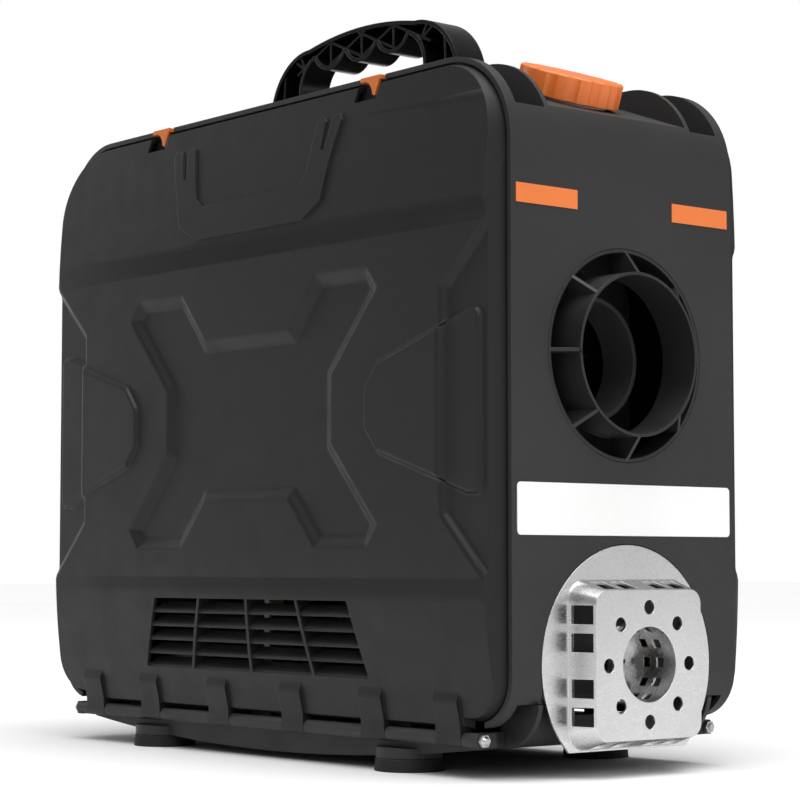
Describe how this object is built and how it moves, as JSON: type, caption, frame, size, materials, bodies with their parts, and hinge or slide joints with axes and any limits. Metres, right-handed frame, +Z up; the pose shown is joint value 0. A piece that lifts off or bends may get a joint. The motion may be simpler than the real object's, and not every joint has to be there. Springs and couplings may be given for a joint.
{
  "type": "diesel air heater",
  "caption": "Portable diesel air heater in a carrying case: hinged vented covers, trussed handle, screw cap, round hot air outlet and guarded exhaust.",
  "frame": {"origin": "under the middle of the whole object, on the plane the feet stand on", "axes": "+Z up, +X the way the hot air leaves, -Y the front cover's side"},
  "size_m": [0.459, 0.2016, 0.4468],
  "materials": {
    "case_plastic": "fine-grained moulded black plastic",
    "cover_plastic": "fine-grained moulded black plastic, a touch darker",
    "trim_plastic": "smooth black plastic with a soft sheen",
    "orange_plastic": "satin orange plastic",
    "orange_tape": "bright orange film",
    "label_film": "plain white film",
    "tank_plastic": "milky blow-moulded plastic",
    "stainless": "bright pressed stainless sheet",
    "zinc_steel": "zinc-plated steel",
    "cast_aluminium": "as-cast aluminium",
    "soft_rubber": "matt black rubber"
  },
  "bodies": {
    "case": {"housing": "case_plastic", "base_pan": "case_plastic", "feet": "soft_rubber", "foot_screws": "zinc_steel", "case_screws": "zinc_steel", "hinge_pins": "zinc_steel", "latch_pins": "zinc_steel", "handle": "trim_plastic", "handle_screws": "zinc_steel", "outlet_ring": "trim_plastic", "intake_grille": "trim_plastic", "exhaust_shield": "stainless", "exhaust_cage": "stainless", "exhaust_pipe": "stainless", "intake_hose": "soft_rubber", "pipe_clamps": "zinc_steel", "intake_silencer": "trim_plastic", "tank": "tank_plastic", "tank_straps": "zinc_steel", "strap_screws": "zinc_steel", "core_upper_case": "trim_plastic", "core_lower_case": "trim_plastic", "core_clips": "zinc_steel", "core_nozzle": "trim_plastic", "fan_duct": "trim_plastic", "blower_housing": "cast_aluminium", "fan_motor": "zinc_steel", "heat_exchanger": "cast_aluminium", "burner_tube": "stainless", "core_bracket": "zinc_steel", "bracket_screws": "zinc_steel", "fuel_pump": "zinc_steel", "pump_clamp": "soft_rubber", "fuel_filter": "tank_plastic", "fuel_lines": "soft_rubber", "control_unit": "trim_plastic", "power_inlet": "trim_plastic", "marker_strips": "orange_tape", "label_plate": "label_film"},
    "front_cover": {"front_cover": "cover_plastic"},
    "rear_cover": {"rear_cover": "cover_plastic"},
    "latch_front_left": {"latch_front_left": "orange_plastic"},
    "latch_front_right": {"latch_front_right": "orange_plastic"},
    "latch_rear_left": {"latch_rear_left": "orange_plastic"},
    "latch_rear_right": {"latch_rear_right": "orange_plastic"},
    "cap_seal": {"cap_gasket": "soft_rubber"},
    "cap": {"cap": "orange_plastic"},
    "fan_rotor": {"fan_rotor": "trim_plastic"}
  },
  "joints": [
    {"name": "front_cover_hinge", "type": "hinge", "parent": "case", "child": "front_cover", "pos_m": [0, -0.086, 0.0208], "axis": [1, 0, 0], "range_deg": [0, 90]},
    {"name": "rear_cover_hinge", "type": "hinge", "parent": "case", "child": "rear_cover", "pos_m": [0, 0.086, 0.0208], "axis": [-1, 0, 0], "range_deg": [0, 90]},
    {"name": "latch_front_left_hinge", "type": "hinge", "parent": "case", "child": "latch_front_left", "pos_m": [-0.11, -0.0705, 0.382], "axis": [-1, 0, 0], "range_deg": [0, 80]},
    {"name": "latch_front_right_hinge", "type": "hinge", "parent": "case", "child": "latch_front_right", "pos_m": [0.1, -0.0705, 0.382], "axis": [-1, 0, 0], "range_deg": [0, 80]},
    {"name": "latch_rear_left_hinge", "type": "hinge", "parent": "case", "child": "latch_rear_left", "pos_m": [-0.11, 0.0705, 0.382], "axis": [1, 0, 0], "range_deg": [0, 80]},
    {"name": "latch_rear_right_hinge", "type": "hinge", "parent": "case", "child": "latch_rear_right", "pos_m": [0.1, 0.0705, 0.382], "axis": [1, 0, 0], "range_deg": [0, 80]},
    {"name": "cap_lift", "type": "slide", "parent": "case", "child": "cap_seal", "axis": [0.342, 0, 0.9397], "range_m": [0, 0.01201]},
    {"name": "cap_turn", "type": "hinge", "parent": "cap_seal", "child": "cap", "pos_m": [0.167, 0, 0.37483], "axis": [0.342, 0, 0.9397], "range_deg": [0, 1080]},
    {"name": "fan_spin", "type": "hinge", "parent": "case", "child": "fan_rotor", "pos_m": [-0.055, 0, 0.2272], "axis": [1, 0, 0], "continuous": true}
  ],
  "couplings": [
    {"joint": "cap_lift", "follows": "cap_turn", "m_per_rad": 0.00063662}
  ]
}
